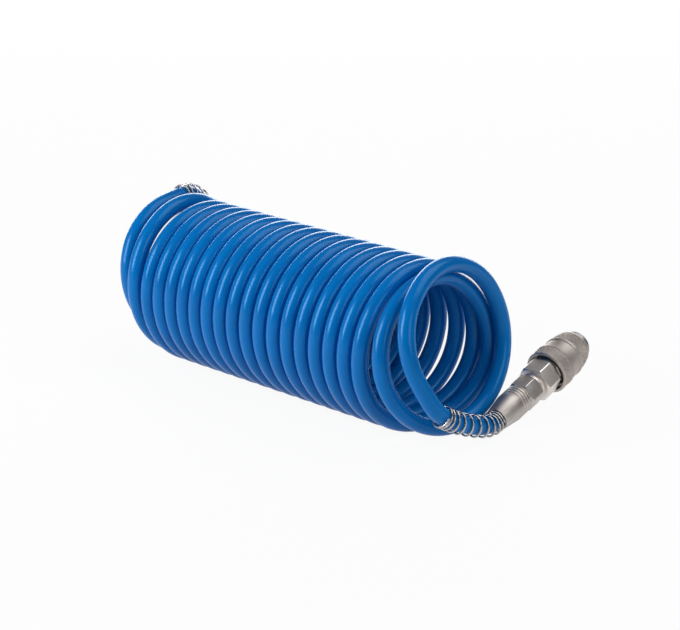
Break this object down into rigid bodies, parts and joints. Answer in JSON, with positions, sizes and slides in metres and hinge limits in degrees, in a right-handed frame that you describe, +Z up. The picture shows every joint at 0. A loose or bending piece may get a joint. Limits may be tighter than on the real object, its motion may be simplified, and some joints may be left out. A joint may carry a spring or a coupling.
{
  "type": "coiled air hose",
  "caption": "Recoil air hose wound in a close helix, with a ball-lock quick coupler at one end, a plug at the other and a wire spring guard at each.",
  "frame": {"origin": "on the floor, on the flat under the tenth turn, below the coil's axis", "axes": "+X along the coil's axis towards the coupler end, +Z up, -Y the side that faces the camera"},
  "size_m": [0.2783, 0.1491, 0.1008],
  "materials": {
    "hose": "glossy translucent blue polyurethane",
    "nickel": "nickel plated, bright",
    "spring_wire": "drawn steel wire",
    "ball_steel": "polished",
    "valve_brass": "turned",
    "seal_rubber": "matt"
  },
  "bodies": {
    "hose_assembly": {"hose_coil": "hose", "front_hose_lead": "hose", "rear_hose_lead": "hose", "front_spring_guard": "spring_wire", "rear_spring_guard": "spring_wire", "front_nut": "nickel", "rear_nut": "nickel", "coupler_stem": "nickel", "body_gasket": "seal_rubber", "coupler_body": "nickel", "socket_o_ring": "seal_rubber", "snap_ring": "spring_wire", "sleeve_spring": "spring_wire", "poppet_spring": "spring_wire", "male_plug": "nickel"},
    "sleeve": {"sleeve": "nickel"},
    "valve": {"valve_poppet": "valve_brass", "poppet_seal": "seal_rubber"},
    "ball_1": {"lock_ball_1": "ball_steel"},
    "ball_2": {"lock_ball_2": "ball_steel"},
    "ball_3": {"lock_ball_3": "ball_steel"},
    "ball_4": {"lock_ball_4": "ball_steel"},
    "ball_5": {"lock_ball_5": "ball_steel"},
    "ball_6": {"lock_ball_6": "ball_steel"}
  },
  "joints": [
    {"name": "sleeve_slide", "type": "slide", "parent": "hose_assembly", "child": "sleeve", "axis": [0.1333, -0.9485, -0.2874], "range_m": [0, 0.0045], "stiffness_N_per_m": 1500, "springref_m": -0.006, "deforming": ["sleeve_spring"]},
    {"name": "valve_slide", "type": "slide", "parent": "hose_assembly", "child": "valve", "axis": [0.1333, -0.9485, -0.2874], "range_m": [0, 0.003], "stiffness_N_per_m": 800, "springref_m": -0.005, "deforming": ["poppet_spring"]},
    {"name": "ball_1_slide", "type": "slide", "parent": "hose_assembly", "child": "ball_1", "axis": [-0.04, 0.2846, -0.9578], "range_m": [0, 0.001]},
    {"name": "ball_2_slide", "type": "slide", "parent": "hose_assembly", "child": "ball_2", "axis": [-0.8776, 0.0218, -0.4789], "range_m": [0, 0.001]},
    {"name": "ball_3_slide", "type": "slide", "parent": "hose_assembly", "child": "ball_3", "axis": [-0.8376, -0.2628, 0.4789], "range_m": [0, 0.001]},
    {"name": "ball_4_slide", "type": "slide", "parent": "hose_assembly", "child": "ball_4", "axis": [0.04, -0.2846, 0.9578], "range_m": [0, 0.001]},
    {"name": "ball_5_slide", "type": "slide", "parent": "hose_assembly", "child": "ball_5", "axis": [0.8776, -0.0218, 0.4789], "range_m": [0, 0.001]},
    {"name": "ball_6_slide", "type": "slide", "parent": "hose_assembly", "child": "ball_6", "axis": [0.8376, 0.2628, -0.4789], "range_m": [0, 0.001]}
  ],
  "couplings": [
    {"joint": "ball_1_slide", "follows": "sleeve_slide", "ratio": 0.2222},
    {"joint": "ball_2_slide", "follows": "sleeve_slide", "ratio": 0.2222},
    {"joint": "ball_3_slide", "follows": "sleeve_slide", "ratio": 0.2222},
    {"joint": "ball_4_slide", "follows": "sleeve_slide", "ratio": 0.2222},
    {"joint": "ball_5_slide", "follows": "sleeve_slide", "ratio": 0.2222},
    {"joint": "ball_6_slide", "follows": "sleeve_slide", "ratio": 0.2222}
  ]
}
